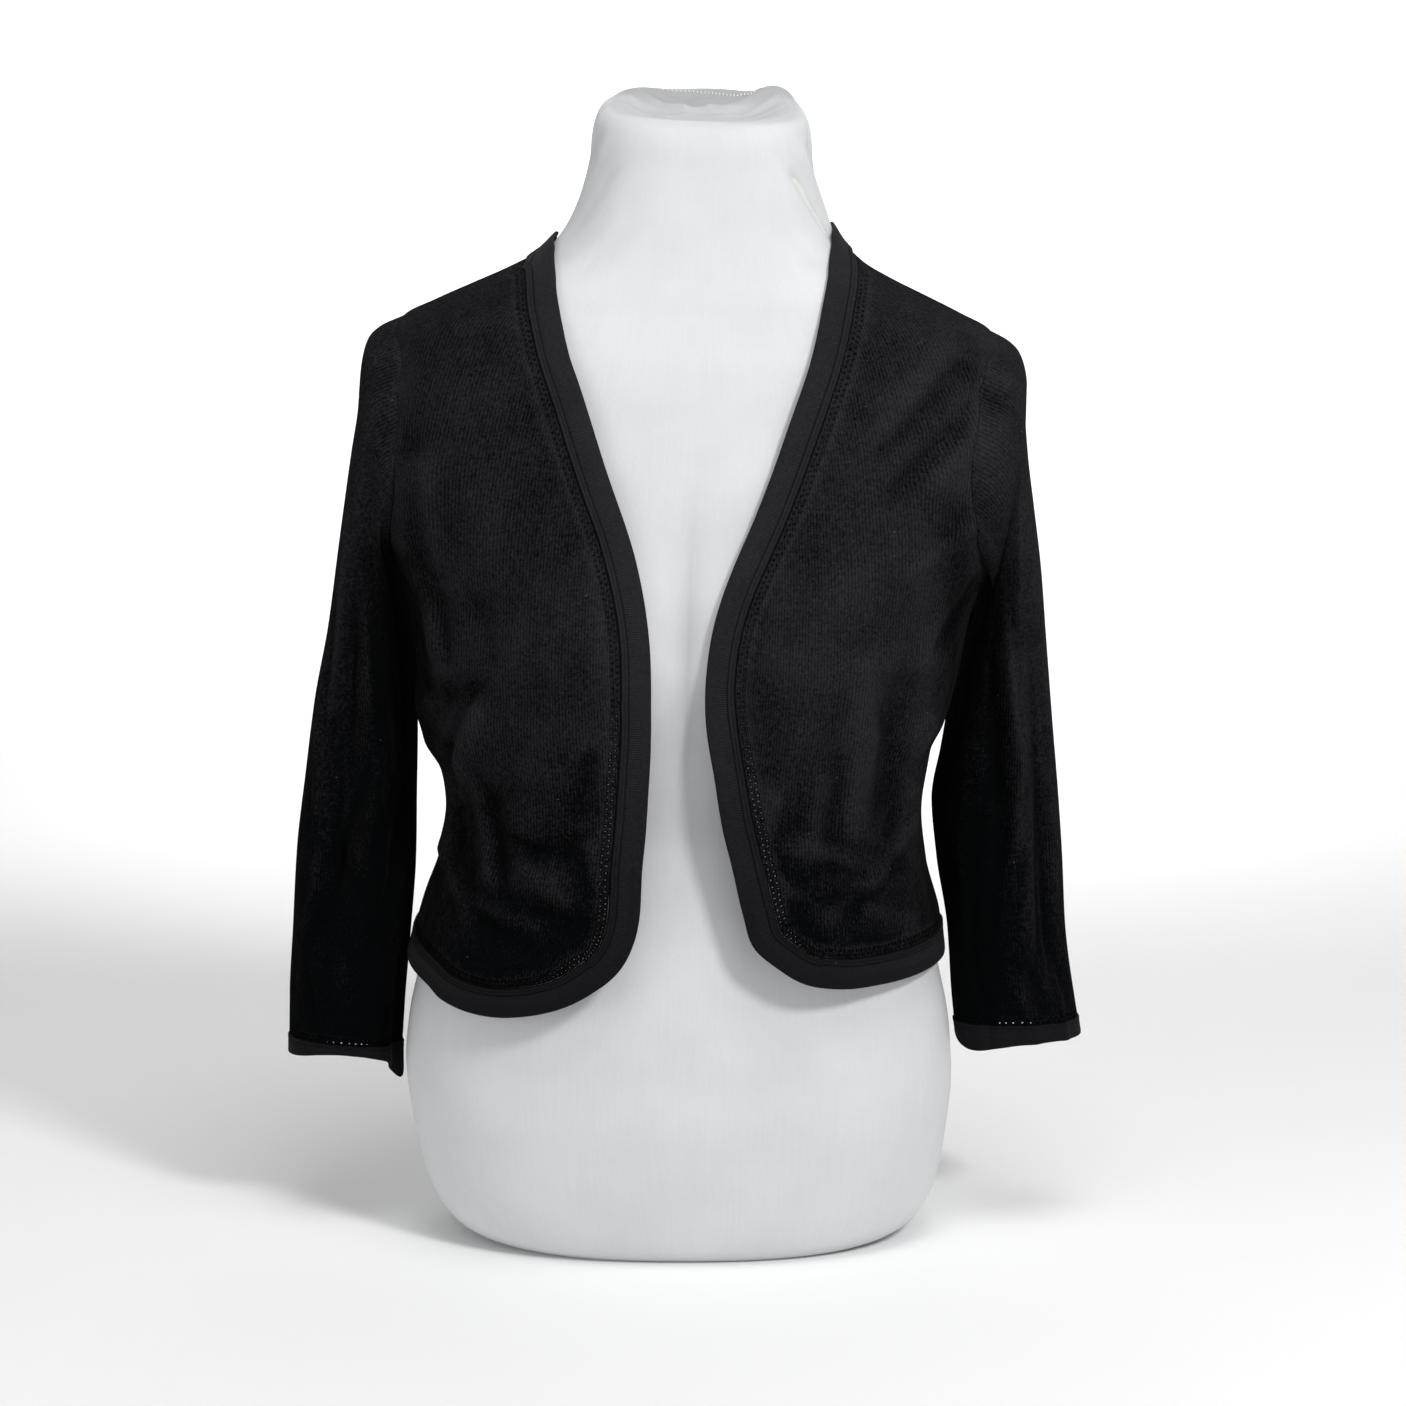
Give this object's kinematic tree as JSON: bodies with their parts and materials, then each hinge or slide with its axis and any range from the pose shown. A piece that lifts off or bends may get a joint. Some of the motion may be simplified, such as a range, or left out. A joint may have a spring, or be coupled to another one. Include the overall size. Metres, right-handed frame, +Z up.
{
  "type": "cropped cardigan on a dress form",
  "caption": "Cropped open-front fine-knit cardigan with three-quarter sleeves and folded edge bands, worn by a padded limbless dress form that stands on its flat base.",
  "frame": {"origin": "on the floor, at the middle of the dress form's flat base", "axes": "+Z up, the front faces -Y, +X is to the right of someone facing the front"},
  "size_m": [0.5249, 0.2644, 0.7428],
  "materials": {
    "black_knit": "fine matte jersey knit",
    "black_trim": "folded matte knit strip",
    "white_jersey": "smooth stretched jersey"
  },
  "bodies": {
    "root": {"back": "black_knit", "front_left": "black_knit", "front_right": "black_knit", "sleeve_left": "black_knit", "sleeve_right": "black_knit", "band_left": "black_trim", "band_right": "black_trim", "band_neck": "black_trim", "band_hem_back": "black_trim", "cuff_left": "black_trim", "cuff_right": "black_trim", "dress_form": "white_jersey"}
  },
  "joints": []
}
